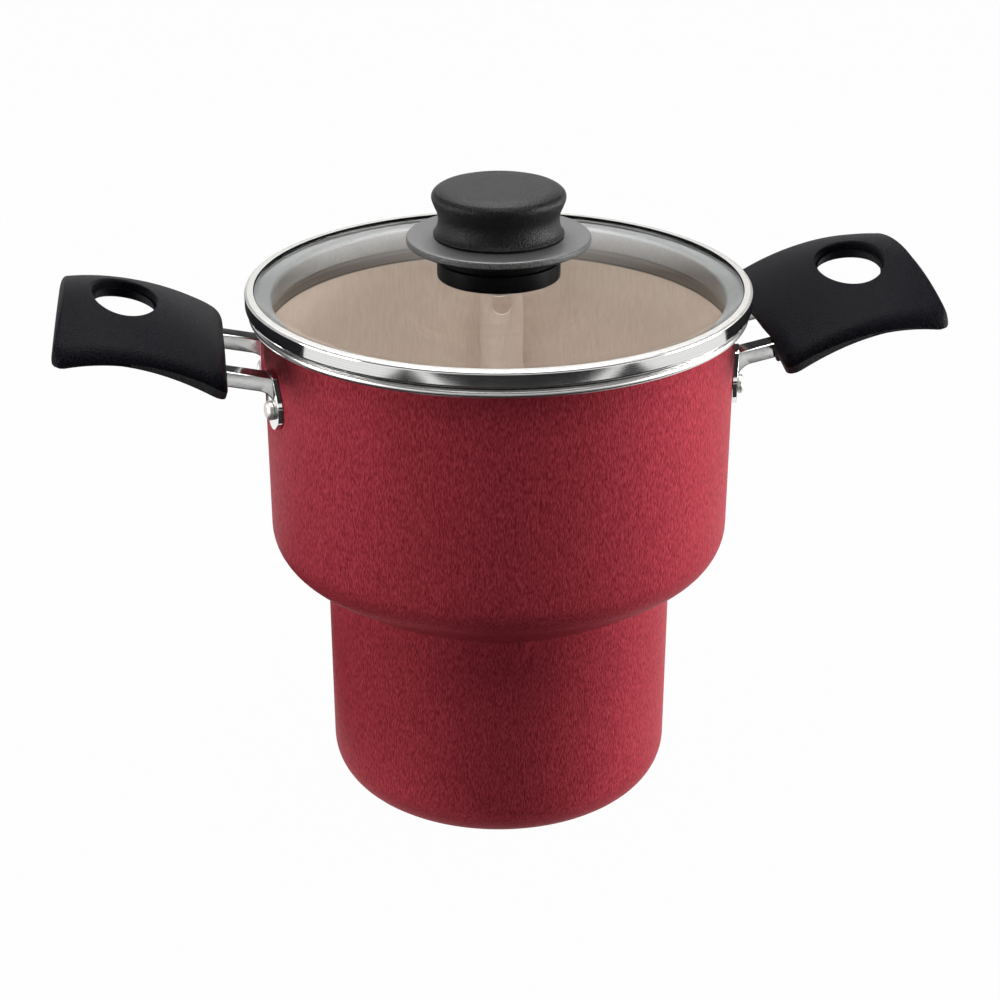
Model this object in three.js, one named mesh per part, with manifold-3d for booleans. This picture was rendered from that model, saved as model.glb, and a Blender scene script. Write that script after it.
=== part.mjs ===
// Couscous steamer: a one-piece stepped vessel, a perforated tray with a lifting strap,
// a glass lid with a knob, and two handles on riveted brackets.
// Millimetres, +Z up, origin in the middle of the underside, handles along X.
import * as THREE from 'three';
import { mergeVertices } from 'three/addons/utils/BufferGeometryUtils.js';
import loadManifold from 'manifold-3d';

const wasm = await loadManifold();
wasm.setup();
const radians = THREE.MathUtils.degToRad;

// Gap that separate pieces keep where they seat on each other
const SEAT_GAP = 0.3;

// Sides of the round pieces, from large to small
const ROUND_SEGMENTS = 52;
const KNOB_SEGMENTS = 30;
const WASHER_SEGMENTS = 20;
const PIN_SEGMENTS = 12;
const STEAM_HOLE_SEGMENTS = 8;

// Vessel
const MOUTH_RADIUS = 80;
const LIP_UNDERSIDE = 175;
const LIP_WIDTH = 4.4;
const LIP_THICKNESS = 2.7;
const LIP_EASE = 1;
const NECK_RADIUS = 60.3;
const NECK_HEIGHT = 79.6;
const SHOULDER_SLOPE = radians(33);
const SHOULDER_BEND = 15;
const BASE_CORNER = 15;
const WALL = 2.4;
const DRAFT = radians(0.5);

// Tray
const TRAY_OVERLAP = 5.7;
const TRAY_GAUGE = 1.5;
const TRAY_HOLE_RADIUS = 2.6;
const TRAY_RING_PITCH = 16;
const TRAY_RINGS = 3;
const STRAP_AZIMUTH = radians(81);
const STRAP_INSET = 4;
const STRAP_GAUGE = 1.5;
const STRAP_WIDTH = 16.4;
const STRAP_HEADROOM = 7.7;
const STRAP_CORNER = 6;
const STRAP_FOOT = 18;
const SLOT_WIDTH = 7.8;
const SLOT_LENGTH = 13;
const SLOT_MARGIN = 6;
const STRAP_RIVET_INNER_INSET = 13.5;
const STRAP_RIVET_OUTER_INSET = 5.5;
const STRAP_RIVET_SHANK = 1.5;
const STRAP_RIVET_HEAD = 2.6;
const STRAP_RIVET_HEAD_HEIGHT = 1.2;
const STRAP_RIVET_HEAD_SIDE = 0.4;

// Lid
const RIM_OVERHANG = 1;
const RIM_LIFT = 1.3;
const RIM_HEIGHT = 5.4;
const RIM_GAUGE = 0.8;
const RIM_LEDGE = 3.2;
const RIM_EASE = 0.6;
const RIM_SEAT_WIDTH = 2.4;
const SKIRT_DEPTH = 5.5;
const SKIRT_CLEARANCE = 0.8;
const GLASS_THICKNESS = 3.9;
const GLASS_DOME_RADIUS = 940;
const GLASS_EDGE_INSET = 1.6;
const GLASS_HOLE_RADIUS = 4;

// Knob
const COLLAR_RADIUS = 20.9;
const COLLAR_HEIGHT = 5.8;
const HUB_RADIUS = 20.5;
const HUB_HEIGHT = 4.3;
const GUARD_STEP_RADIUS = 28.5;
const GUARD_STEP_HEIGHT = 1.2;
const GUARD_RADIUS = 31;
const GUARD_THICKNESS = 2.5;
const KNOB_FOOT_RADIUS = 22;
const KNOB_WAIST_RADIUS = 20.3;
const KNOB_WAIST_HEIGHT = 5.5;
const KNOB_CAP_RADIUS = 22.5;
const KNOB_CAP_HEIGHT = 13.1;
const KNOB_RIM_RADIUS = 19.6;
const KNOB_RIM_HEIGHT = 16.1;
const KNOB_HEIGHT = 17;
const KNOB_INSERT_RADIUS = 5;
const KNOB_INSERT_LENGTH = 9;
const KNOB_SCREW_RADIUS = 2.5;
const KNOB_SCREW_HEAD_RADIUS = 4.6;
const KNOB_SCREW_HEAD_HEIGHT = 3;
const KNOB_SCREW_REACH = 8;
const KNOB_SEAL_RADIUS = 9;
const KNOB_SEAL_THICKNESS = 1.5;
const KNOB_WASHER_RADIUS = 8;
const KNOB_WASHER_THICKNESS = 1.1;

// Brackets and their rivets
const ARM_DROP = 14.5;
const ARM_RISE = radians(12);
const ARM_LENGTH = 25;
const ARM_WIDTH = 7;
const ARM_THICKNESS = 5.2;
const ARM_SPREAD = 18.5;
const WEB_LENGTH = 10;
const FOOT_GAUGE = 2;
const FOOT_WIDTH = 12;
const FOOT_OFFSET = 19.5;
const FOOT_TIP_MARGIN = 1.2;
const RIVET_DROP = 10.5;
const RIVET_SHANK = 2;
const RIVET_HEAD = 3.2;
const RIVET_HEAD_SIDE = 1.6;
const RIVET_HEAD_HEIGHT = 2.6;
const RIVET_TAIL = 3.5;
const RIVET_TAIL_HEIGHT = 1.2;

// Handles
const HANDLE_STANDOFF = 11.6;
const HANDLE_LENGTH = 54.8;
const HANDLE_INNER_HALF_WIDTH = 40;
const HANDLE_OUTER_HALF_WIDTH = 41.5;
const HANDLE_INNER_CORNER = 4.5;
const HANDLE_OUTER_CORNER = 6;
const HANDLE_INNER_RISE = 10.7;
const HANDLE_MIDDLE_RISE = 25.5;
const HANDLE_OUTER_RISE = 27.6;
const HANDLE_INNER_SAG = 5;
const HANDLE_OUTER_SAG = 8.9;
const HANDLE_INNER_EDGE = 5.4;
const HANDLE_OUTER_EDGE = 5;
const HANDLE_HOLE_EDGE = 8.5;
const HANDLE_EDGE_EASE = 1.6;
const HANDLE_EDGE_TAPER = 0.6;
const HOLE_INSET = 23;
const HOLE_HALF_LENGTH = 19;
const HOLE_HALF_WIDTH = 10.6;
const NOSE_CHEEK = 2.4;
const NOSE_END = 2;
const NOSE_TOP_INNER = 3;
const NOSE_TOP_OUTER = 10;
const HANDLE_SCREW_RADIUS = 1.9;
const HANDLE_SCREW_HEAD_RADIUS = 4;
const HANDLE_SCREW_HEAD_HEIGHT = 2.5;
const HANDLE_INSERT_RADIUS = 3.4;
const HANDLE_INSERT_LENGTH = 4.6;
const HANDLE_LOOP_POINTS = 40;

// Finishes
const FINISHES = {
  redCoat: { color: 0x8e2f3c, roughness: 0.38, metalness: 0.55 },
  steel: { color: 0xd5d5d2, roughness: 0.2, metalness: 1 },
  aluminium: { color: 0xc9c8c4, roughness: 0.32, metalness: 1 },
  blackResin: { color: 0x202022, roughness: 0.55, metalness: 0 },
  glass: { color: 0xeef3f2, roughness: 0.03, metalness: 0, transparent: true, opacity: 0.25 },
  beigeCoat: { color: 0xb3a18e, roughness: 0.5, metalness: 0.1 },
  brass: { color: 0xb08d4a, roughness: 0.35, metalness: 1 },
  softSeal: { color: 0xd9d6cf, roughness: 0.8, metalness: 0 },
};

// Places that follow from the sizes above
const lipRadius = MOUTH_RADIUS + LIP_WIDTH;
const lipTop = LIP_UNDERSIDE + LIP_THICKNESS;
const rimRadius = lipRadius + RIM_OVERHANG;
const trayRadius = NECK_RADIUS + TRAY_OVERLAP;
const strapRadius = trayRadius - STRAP_INSET;
const strapTop = lipTop - STRAP_HEADROOM;
const slotTop = strapTop - SLOT_MARGIN;
const slotBottom = slotTop - SLOT_LENGTH;
const armRoot = LIP_UNDERSIDE - ARM_DROP;
const handleInner = MOUTH_RADIUS + HANDLE_STANDOFF;
const handleOuter = handleInner + HANDLE_LENGTH;
const holeCentre = handleOuter - HOLE_INSET;

const steamer = new THREE.Group();

function addPiece(name, geometry, finish, parent = steamer) {
  const mesh = new THREE.Mesh(geometry, new THREE.MeshStandardMaterial(FINISHES[finish]));
  mesh.name = name;
  parent.add(mesh);
  return mesh;
}

// Revolves a list of [radius, height] points about Z
function lathe(points, segments) {
  const geometry = new THREE.LatheGeometry(points.map(([r, z]) => new THREE.Vector2(r, z)), segments);
  return geometry.rotateX(Math.PI / 2);
}

function tube(innerRadius, outerRadius, bottom, top, segments) {
  const section = [[innerRadius, bottom], [outerRadius, bottom], [outerRadius, top], [innerRadius, top]];
  return lathe([...section, section[0]], segments);
}

function rod(radius, bottom, top, segments) {
  return lathe([[0, bottom], [radius, bottom], [radius, top], [0, top]], segments);
}

// Half-section of a domed head from its seat to the axis; a negative height points it down
function domedHead(radius, seat, side, height) {
  const crown = arcPoints([0, 0], 1, 0, Math.PI / 2, 3);
  return [[radius, seat], ...crown.map(([r, z]) => [radius * r, seat + side + (height - side) * z])];
}

function screwGeometry(radius, headRadius, headHeight, seat, tip) {
  const head = domedHead(headRadius, seat, -headHeight / 2, -headHeight).reverse();
  return lathe([...head, [radius, seat], [radius, tip], [0, tip]], PIN_SEGMENTS);
}

function toSolid(geometry) {
  const bare = geometry.clone();
  bare.deleteAttribute('normal');
  bare.deleteAttribute('uv');
  const merged = mergeVertices(bare);
  const corners = merged.index.array;
  const kept = [];
  for (let i = 0; i < corners.length; i += 3) {
    const [a, b, c] = corners.subarray(i, i + 3);
    if (a !== b && b !== c && c !== a) kept.push(a, b, c);
  }
  const vertProperties = new Float32Array(merged.attributes.position.array);
  return new wasm.Manifold(new wasm.Mesh({ numProp: 3, vertProperties, triVerts: new Uint32Array(kept) }));
}

function toGeometry(solid) {
  const mesh = solid.getMesh();
  const geometry = new THREE.BufferGeometry();
  geometry.setAttribute('position', new THREE.BufferAttribute(mesh.vertProperties, 3));
  geometry.setIndex(new THREE.BufferAttribute(mesh.triVerts, 1));
  geometry.computeVertexNormals();
  return geometry;
}

function join(first, ...others) {
  return others.reduce((whole, geometry) => whole.add(toSolid(geometry)), toSolid(first));
}

function cut(solid, ...tools) {
  return tools.reduce((rest, geometry) => rest.subtract(toSolid(geometry)), solid);
}

function arcPoints([r, z], radius, from, to, steps) {
  return Array.from({ length: steps + 1 }, (_, i) => {
    const angle = from + ((to - from) * i) / steps;
    return [r + radius * Math.cos(angle), z + radius * Math.sin(angle)];
  });
}

// A section line is a point and the angle of its upward run; its left side is inside the vessel
function inset(line, depth) {
  const [r, z] = line.point;
  return { point: [r - depth * Math.sin(line.angle), z + depth * Math.cos(line.angle)], angle: line.angle };
}

function meet(first, second) {
  const [c1, s1] = [Math.cos(first.angle), Math.sin(first.angle)];
  const [c2, s2] = [Math.cos(second.angle), Math.sin(second.angle)];
  const [dr, dz] = [second.point[0] - first.point[0], second.point[1] - first.point[1]];
  const along = (dr * s2 - dz * c2) / (c1 * s2 - s1 * c2);
  return [first.point[0] + along * c1, first.point[1] + along * s1];
}

const wallAngle = Math.PI / 2 - DRAFT;
const baseLine = { point: [0, 0], angle: 0 };
const lowerWall = { point: [NECK_RADIUS, NECK_HEIGHT], angle: wallAngle };
const shoulder = { point: [NECK_RADIUS, NECK_HEIGHT], angle: SHOULDER_SLOPE };
const upperWall = { point: [MOUTH_RADIUS, LIP_UNDERSIDE], angle: wallAngle };
const baseCornerCentre = meet(inset(baseLine, BASE_CORNER), inset(lowerWall, BASE_CORNER));
const bendCentre = meet(inset(shoulder, SHOULDER_BEND), inset(upperWall, SHOULDER_BEND));
const level = (height) => ({ point: [0, height], angle: 0 });
const wallRadiusAt = (height) => meet(upperWall, level(height))[0];

// One skin of the vessel's sheet, at a depth inside the outer surface
function vesselSkin(depth, top) {
  return [
    [0, depth],
    ...arcPoints(baseCornerCentre, BASE_CORNER - depth, -Math.PI / 2, -DRAFT, 5),
    meet(inset(lowerWall, depth), inset(shoulder, depth)),
    ...arcPoints(bendCentre, SHOULDER_BEND - depth, SHOULDER_SLOPE - Math.PI / 2, -DRAFT, 5),
    meet(inset(upperWall, depth), level(top)),
  ];
}

function vesselGeometry(rivetHoles) {
  const lipRound = LIP_THICKNESS / 2;
  const innerSkin = vesselSkin(WALL, lipTop - LIP_EASE).reverse();
  const mouth = innerSkin[0][0];
  const section = [
    ...vesselSkin(0, LIP_UNDERSIDE),
    ...arcPoints([lipRadius - lipRound, LIP_UNDERSIDE + lipRound], lipRound, -Math.PI / 2, Math.PI / 2, 4),
    [mouth + LIP_EASE, lipTop],
    ...innerSkin,
  ];
  return toGeometry(cut(toSolid(lathe(section, ROUND_SEGMENTS)), ...rivetHoles));
}

// The tray lies on the inside of the shoulder
const trayBottom = meet(inset(shoulder, WALL), { point: [trayRadius, 0], angle: Math.PI / 2 })[1] + SEAT_GAP;
const trayTop = trayBottom + TRAY_GAUGE;
const strapBottom = trayTop + SEAT_GAP;
const strapRivetInsets = { inner: STRAP_RIVET_INNER_INSET, outer: STRAP_RIVET_OUTER_INSET };

function circlePath(x, y, radius, steps) {
  const points = arcPoints([x, y], radius, 0, 2 * Math.PI, steps).slice(0, steps);
  return points.map(([px, py]) => new THREE.Vector2(px, py));
}

function trayGeometry() {
  const disc = new THREE.Shape(circlePath(0, 0, trayRadius, ROUND_SEGMENTS));
  const footStart = strapRadius + STRAP_GAUGE - STRAP_FOOT - TRAY_HOLE_RADIUS;
  const footSide = STRAP_WIDTH / 2 + TRAY_HOLE_RADIUS;
  for (let ring = 0; ring <= TRAY_RINGS; ring += 1) {
    const ringRadius = ring * TRAY_RING_PITCH;
    const count = Math.max(1, 6 * ring);
    for (let i = 0; i < count; i += 1) {
      const angle = (2 * Math.PI * i) / count;
      const [x, y] = [ringRadius * Math.cos(angle), ringRadius * Math.sin(angle)];
      if (x > footStart && Math.abs(y) < footSide) continue;
      disc.holes.push(new THREE.Path(circlePath(x, y, TRAY_HOLE_RADIUS, STEAM_HOLE_SEGMENTS)));
    }
  }
  for (const rivetInset of Object.values(strapRivetInsets)) {
    const hole = circlePath(strapRadius - rivetInset, 0, STRAP_RIVET_SHANK + SEAT_GAP, PIN_SEGMENTS);
    disc.holes.push(new THREE.Path(hole));
  }
  const geometry = new THREE.ExtrudeGeometry(disc, { depth: TRAY_GAUGE, bevelEnabled: false });
  return geometry.translate(0, 0, trayBottom);
}

// Turns an outline drawn across (x) and up (y) into a plate that faces along X
const FACING_X = new THREE.Matrix4().makeBasis(
  new THREE.Vector3(0, 1, 0),
  new THREE.Vector3(0, 0, 1),
  new THREE.Vector3(1, 0, 0),
);

function plateFacingX(shape, start, end, curveSegments) {
  const options = { depth: end - start, bevelEnabled: false, curveSegments };
  const geometry = new THREE.ExtrudeGeometry(shape, options);
  return geometry.applyMatrix4(FACING_X).translate(start, 0, 0);
}

function strapGeometry() {
  const half = STRAP_WIDTH / 2;
  const slotHalf = SLOT_WIDTH / 2;
  const face = new THREE.Shape();
  face.moveTo(-half, strapBottom);
  face.lineTo(half, strapBottom);
  face.lineTo(half, strapTop - STRAP_CORNER);
  face.absarc(half - STRAP_CORNER, strapTop - STRAP_CORNER, STRAP_CORNER, 0, Math.PI / 2);
  face.absarc(STRAP_CORNER - half, strapTop - STRAP_CORNER, STRAP_CORNER, Math.PI / 2, Math.PI);
  const slot = new THREE.Path();
  slot.absarc(0, slotBottom + slotHalf, slotHalf, Math.PI, 2 * Math.PI);
  slot.absarc(0, slotTop - slotHalf, slotHalf, 0, Math.PI);
  face.holes.push(slot);
  const upright = plateFacingX(face, strapRadius, strapRadius + STRAP_GAUGE, 5);
  const footMiddle = strapRadius + STRAP_GAUGE - STRAP_FOOT / 2;
  const foot = new THREE.BoxGeometry(STRAP_FOOT, STRAP_WIDTH, STRAP_GAUGE);
  foot.translate(footMiddle, 0, strapBottom + STRAP_GAUGE / 2);
  const holes = Object.values(strapRivetInsets).map((rivetInset) => {
    const hole = rod(STRAP_RIVET_SHANK + SEAT_GAP, trayBottom, strapBottom + 2 * STRAP_GAUGE, PIN_SEGMENTS);
    return hole.translate(strapRadius - rivetInset, 0, 0);
  });
  return toGeometry(cut(join(upright, foot), ...holes));
}

function strapRivetGeometry() {
  const under = trayBottom - SEAT_GAP;
  const over = strapBottom + STRAP_GAUGE + SEAT_GAP;
  return lathe([
    [0, under - STRAP_RIVET_HEAD_HEIGHT],
    [STRAP_RIVET_HEAD, under - STRAP_RIVET_HEAD_HEIGHT],
    [STRAP_RIVET_HEAD, under],
    [STRAP_RIVET_SHANK, under],
    [STRAP_RIVET_SHANK, over],
    ...domedHead(STRAP_RIVET_HEAD, over, STRAP_RIVET_HEAD_SIDE, STRAP_RIVET_HEAD_HEIGHT),
  ], PIN_SEGMENTS);
}

const lidSeat = lipTop + SEAT_GAP;
const rimBottom = lipTop + RIM_LIFT;
const rimTop = rimBottom + RIM_HEIGHT;
const skirtRadius = meet(inset(upperWall, WALL), level(lipTop - SKIRT_DEPTH))[0] - SKIRT_CLEARANCE;

function lidRimGeometry() {
  const seatRadius = rimRadius - RIM_SEAT_WIDTH;
  const ledgeRadius = rimRadius - RIM_LEDGE;
  const inside = rimRadius - RIM_GAUGE;
  const section = [
    [skirtRadius, lipTop - SKIRT_DEPTH],
    [skirtRadius, lidSeat],
    [seatRadius, lidSeat],
    [rimRadius - RIM_EASE, rimBottom],
    [rimRadius, rimBottom + RIM_EASE],
    [rimRadius, rimTop - RIM_EASE],
    [rimRadius - RIM_EASE, rimTop],
    [ledgeRadius, rimTop],
    [ledgeRadius, rimTop - RIM_GAUGE],
    [inside, rimTop - RIM_GAUGE],
    [inside, rimBottom + RIM_GAUGE],
    [seatRadius, lidSeat + RIM_GAUGE],
    [skirtRadius - RIM_GAUGE, lidSeat + RIM_GAUGE],
    [skirtRadius - RIM_GAUGE, lipTop - SKIRT_DEPTH],
  ];
  return lathe([...section, section[0]], ROUND_SEGMENTS);
}

// The dome's edge lies just under the rim's inward ledge
const glassRadius = rimRadius - RIM_GAUGE - GLASS_EDGE_INSET;
const domeDrop = (radius) => GLASS_DOME_RADIUS - Math.sqrt(GLASS_DOME_RADIUS ** 2 - radius ** 2);
const glassApex = rimTop - RIM_GAUGE - SEAT_GAP + domeDrop(rimRadius - RIM_LEDGE);
const glassUnderside = glassApex - GLASS_THICKNESS;

function glassGeometry() {
  const steps = 3;
  const radii = Array.from({ length: steps + 1 }, (_, i) => (
    GLASS_HOLE_RADIUS + ((glassRadius - GLASS_HOLE_RADIUS) * i) / steps
  ));
  const under = radii.map((r) => [r, glassUnderside - domeDrop(r)]);
  const over = radii.map((r) => [r, glassApex - domeDrop(r)]).reverse();
  return lathe([...under, ...over, under[0]], ROUND_SEGMENTS);
}

const collarBottom = glassApex + SEAT_GAP;
const collarTop = collarBottom + COLLAR_HEIGHT;
const hubBottom = collarTop + SEAT_GAP;
const guardBottom = hubBottom + HUB_HEIGHT + GUARD_STEP_HEIGHT;
const guardTop = guardBottom + GUARD_THICKNESS;
const knobBottom = guardTop + SEAT_GAP;
const insertBottom = knobBottom + SEAT_GAP;
const insertTop = insertBottom + KNOB_INSERT_LENGTH;
const screwHole = KNOB_SCREW_RADIUS + SEAT_GAP;
const sealTop = glassUnderside - SEAT_GAP;
const sealBottom = sealTop - KNOB_SEAL_THICKNESS;
const washerTop = sealBottom - SEAT_GAP;
const washerBottom = washerTop - KNOB_WASHER_THICKNESS;
const screwSeat = washerBottom - SEAT_GAP;

function guardGeometry() {
  const stepBottom = hubBottom + HUB_HEIGHT;
  const ease = GUARD_THICKNESS / 3;
  const section = [
    [screwHole, hubBottom],
    [HUB_RADIUS, hubBottom],
    [HUB_RADIUS, stepBottom],
    [GUARD_STEP_RADIUS, stepBottom],
    [GUARD_STEP_RADIUS, guardBottom],
    [GUARD_RADIUS - ease, guardBottom],
    [GUARD_RADIUS, guardBottom + ease],
    [GUARD_RADIUS, guardTop - ease],
    [GUARD_RADIUS - ease, guardTop],
    [screwHole, guardTop],
  ];
  return lathe([...section, section[0]], KNOB_SEGMENTS);
}

function knobGeometry() {
  const pocket = KNOB_INSERT_RADIUS + SEAT_GAP;
  const side = new THREE.SplineCurve([
    new THREE.Vector2(KNOB_FOOT_RADIUS, knobBottom),
    new THREE.Vector2(KNOB_WAIST_RADIUS, knobBottom + KNOB_WAIST_HEIGHT),
    new THREE.Vector2(KNOB_CAP_RADIUS, knobBottom + KNOB_CAP_HEIGHT),
    new THREE.Vector2(KNOB_RIM_RADIUS, knobBottom + KNOB_RIM_HEIGHT),
  ]).getPoints(9).map((point) => [point.x, point.y]);
  const crownAt = (r) => KNOB_HEIGHT - (KNOB_HEIGHT - KNOB_RIM_HEIGHT) * (r / KNOB_RIM_RADIUS) ** 2;
  const crown = [KNOB_RIM_RADIUS / 2, 0].map((r) => [r, knobBottom + crownAt(r)]);
  return lathe([
    [0, insertTop + SEAT_GAP],
    [pocket, insertTop + SEAT_GAP],
    [pocket, knobBottom],
    ...side,
    ...crown,
  ], KNOB_SEGMENTS);
}

// A rivet's axis runs along +X, with its height counted from the vessel's outer surface
const footInner = SEAT_GAP;
const footOuter = footInner + FOOT_GAUGE;
const rivetHeight = armRoot - RIVET_DROP;
const footTip = rivetHeight - FOOT_WIDTH / 2 - FOOT_TIP_MARGIN;
const rivetRadius = wallRadiusAt(rivetHeight);
const rivetTurn = Math.asin(FOOT_OFFSET / rivetRadius);

function atRivet(geometry, end, turn) {
  return geometry.rotateY(Math.PI / 2).translate(rivetRadius, 0, rivetHeight).rotateZ(turn + end * rivetTurn);
}

function rivetGeometry() {
  const tail = -WALL - SEAT_GAP;
  const head = footOuter + SEAT_GAP;
  return lathe([
    [0, tail - RIVET_TAIL_HEIGHT],
    [RIVET_TAIL, tail - RIVET_TAIL_HEIGHT],
    [RIVET_TAIL, tail],
    [RIVET_SHANK, tail],
    [RIVET_SHANK, head],
    ...domedHead(RIVET_HEAD, head, RIVET_HEAD_SIDE, RIVET_HEAD_HEIGHT),
  ], PIN_SEGMENTS);
}

function rivetHole() {
  const reach = WALL + FOOT_GAUGE + RIVET_HEAD_HEIGHT;
  return rod(RIVET_SHANK + SEAT_GAP, -reach, reach, PIN_SEGMENTS);
}

// The arm frame: u along the arms from the wall, v across, w square to both, tilted by the arms' rise
function fromArmFrame(geometry) {
  return geometry.rotateY(-ARM_RISE).translate(MOUTH_RADIUS, 0, armRoot);
}

function armBox(uFrom, uTo, vFrom, vTo, wFrom, wTo) {
  const box = new THREE.BoxGeometry(uTo - uFrom, vTo - vFrom, wTo - wFrom);
  return fromArmFrame(box.translate((uFrom + uTo) / 2, (vFrom + vTo) / 2, (wFrom + wTo) / 2));
}

const armInner = ARM_SPREAD - ARM_WIDTH / 2;
const armOuter = ARM_SPREAD + ARM_WIDTH / 2;
const armHalf = ARM_THICKNESS / 2;
const handleScrewPlace = ARM_LENGTH - WEB_LENGTH / 2;

function footOutline(side) {
  const outline = new THREE.Shape();
  const footInside = FOOT_OFFSET - FOOT_WIDTH / 2;
  const footOutside = FOOT_OFFSET + FOOT_WIDTH / 2;
  const tipCentre = footTip + FOOT_WIDTH / 2;
  outline.moveTo(side * armInner, armRoot + armHalf);
  outline.lineTo(side * footInside, tipCentre);
  for (const [across, up] of arcPoints([FOOT_OFFSET, tipCentre], FOOT_WIDTH / 2, Math.PI, 2 * Math.PI, 8)) {
    outline.lineTo(side * across, up);
  }
  outline.lineTo(side * footOutside, armRoot - armHalf - FOOT_GAUGE);
  outline.lineTo(side * armOuter, armRoot + armHalf);
  return outline;
}

function bracketGeometry() {
  const low = footTip - FOOT_WIDTH;
  const high = LIP_UNDERSIDE;
  const shellAt = (height, depth) => [wallRadiusAt(height) + depth, height];
  const shell = lathe([
    shellAt(low, footInner), shellAt(low, footOuter), shellAt(high, footOuter), shellAt(high, footInner),
    shellAt(low, footInner),
  ], 2 * ROUND_SEGMENTS);
  const coreSection = [[0, low], shellAt(low, footInner), shellAt(high, footInner), [0, high]];
  const core = lathe(coreSection, 2 * ROUND_SEGMENTS);
  const reach = MOUTH_RADIUS + footOuter + ARM_WIDTH;
  const rear = plateFacingX(footOutline(1), NECK_RADIUS, reach);
  const front = plateFacingX(footOutline(-1), NECK_RADIUS, reach);
  const feet = join(rear, front).intersect(toSolid(shell));
  const inward = -ARM_WIDTH;
  const frame = join(
    armBox(inward, ARM_LENGTH, armInner, armOuter, -armHalf, armHalf),
    armBox(inward, ARM_LENGTH, -armOuter, -armInner, -armHalf, armHalf),
    armBox(ARM_LENGTH - WEB_LENGTH, ARM_LENGTH, -ARM_SPREAD, ARM_SPREAD, -armHalf, armHalf),
  );
  const screwHoleTool = rod(HANDLE_SCREW_RADIUS + SEAT_GAP, -ARM_THICKNESS, ARM_THICKNESS, PIN_SEGMENTS);
  const tools = [core, fromArmFrame(screwHoleTool.translate(handleScrewPlace, 0, 0))];
  tools.push(atRivet(rivetHole(), 1, 0), atRivet(rivetHole(), -1, 0));
  return toGeometry(cut(feet.add(frame), ...tools));
}

// Height of the handle's upper surface: a crown along its length that sags to both sides
function handleSurface(radius, across) {
  const t = (radius - handleInner) / (handleOuter - handleInner);
  const rise = HANDLE_INNER_RISE * (1 - t) * (1 - 2 * t)
    + HANDLE_MIDDLE_RISE * 4 * t * (1 - t)
    + HANDLE_OUTER_RISE * t * (2 * t - 1);
  const halfWidth = THREE.MathUtils.lerp(HANDLE_INNER_HALF_WIDTH, HANDLE_OUTER_HALF_WIDTH, t);
  const sag = THREE.MathUtils.lerp(HANDLE_INNER_SAG, HANDLE_OUTER_SAG, t);
  return armRoot + rise - sag * (across / halfWidth) ** 2;
}

function handleOutline() {
  const outline = new THREE.Shape();
  const corner = (x, y, radius, start) => outline.absarc(x, y, radius, start, start + Math.PI / 2);
  const outerX = handleOuter - HANDLE_OUTER_CORNER;
  const outerY = HANDLE_OUTER_HALF_WIDTH - HANDLE_OUTER_CORNER;
  const innerX = handleInner + HANDLE_INNER_CORNER;
  const innerY = HANDLE_INNER_HALF_WIDTH - HANDLE_INNER_CORNER;
  corner(outerX, outerY, HANDLE_OUTER_CORNER, 0);
  corner(innerX, innerY, HANDLE_INNER_CORNER, Math.PI / 2);
  corner(innerX, -innerY, HANDLE_INNER_CORNER, Math.PI);
  corner(outerX, -outerY, HANDLE_OUTER_CORNER, 1.5 * Math.PI);
  outline.closePath();
  return outline.getSpacedPoints(HANDLE_LOOP_POINTS).slice(0, HANDLE_LOOP_POINTS);
}

// Skins a ring of closed loops, each joined to the next and the last to the first
function ringLoft(loops) {
  const count = loops[0].length;
  const position = loops.flat().flatMap((point) => point.toArray());
  const index = [];
  loops.forEach((_, s) => {
    const here = s * count;
    const next = ((s + 1) % loops.length) * count;
    for (let i = 0; i < count; i += 1) {
      const j = (i + 1) % count;
      index.push(here + i, next + i, here + j, here + j, next + i, next + j);
    }
  });
  const geometry = new THREE.BufferGeometry();
  geometry.setAttribute('position', new THREE.Float32BufferAttribute(position, 3));
  geometry.setIndex(index);
  return geometry;
}

// The handle's wing: loops run from the finger hole's upper edge outward, round the rim and back below
function wingGeometry() {
  const outline = handleOutline();
  const hole = outline.map((point) => {
    const angle = Math.atan2(point.y / HOLE_HALF_LENGTH, (point.x - holeCentre) / HOLE_HALF_WIDTH);
    return new THREE.Vector2(
      holeCentre + HOLE_HALF_WIDTH * Math.cos(angle),
      HOLE_HALF_LENGTH * Math.sin(angle),
    );
  });
  const edgeAt = (point) => {
    const t = (point.x - handleInner) / (handleOuter - handleInner);
    return THREE.MathUtils.lerp(HANDLE_INNER_EDGE, HANDLE_OUTER_EDGE, Math.min(1, t / HANDLE_EDGE_TAPER));
  };
  const loop = (share, inward, eased, below) => outline.map((rimPoint, i) => {
    const span = rimPoint.distanceTo(hole[i]);
    const place = THREE.MathUtils.clamp(share - inward / span, 0, 1);
    const point = hole[i].clone().lerp(rimPoint, place);
    const thickness = THREE.MathUtils.lerp(HANDLE_HOLE_EDGE, edgeAt(point), place);
    const surface = handleSurface(point.x, point.y);
    return new THREE.Vector3(point.x, point.y, below ? surface - thickness + eased : surface - eased);
  });
  const ease = HANDLE_EDGE_EASE;
  const half = [[0, 0, ease], [0, -ease, 0], [1 / 3, 0, 0], [2 / 3, 0, 0], [1, ease, 0], [1, 0, ease]];
  const over = half.map(([share, inward, eased]) => loop(share, inward, eased, false));
  const under = half.map(([share, inward, eased]) => loop(share, inward, eased, true)).reverse();
  return ringLoft([...over, ...under]);
}

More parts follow.
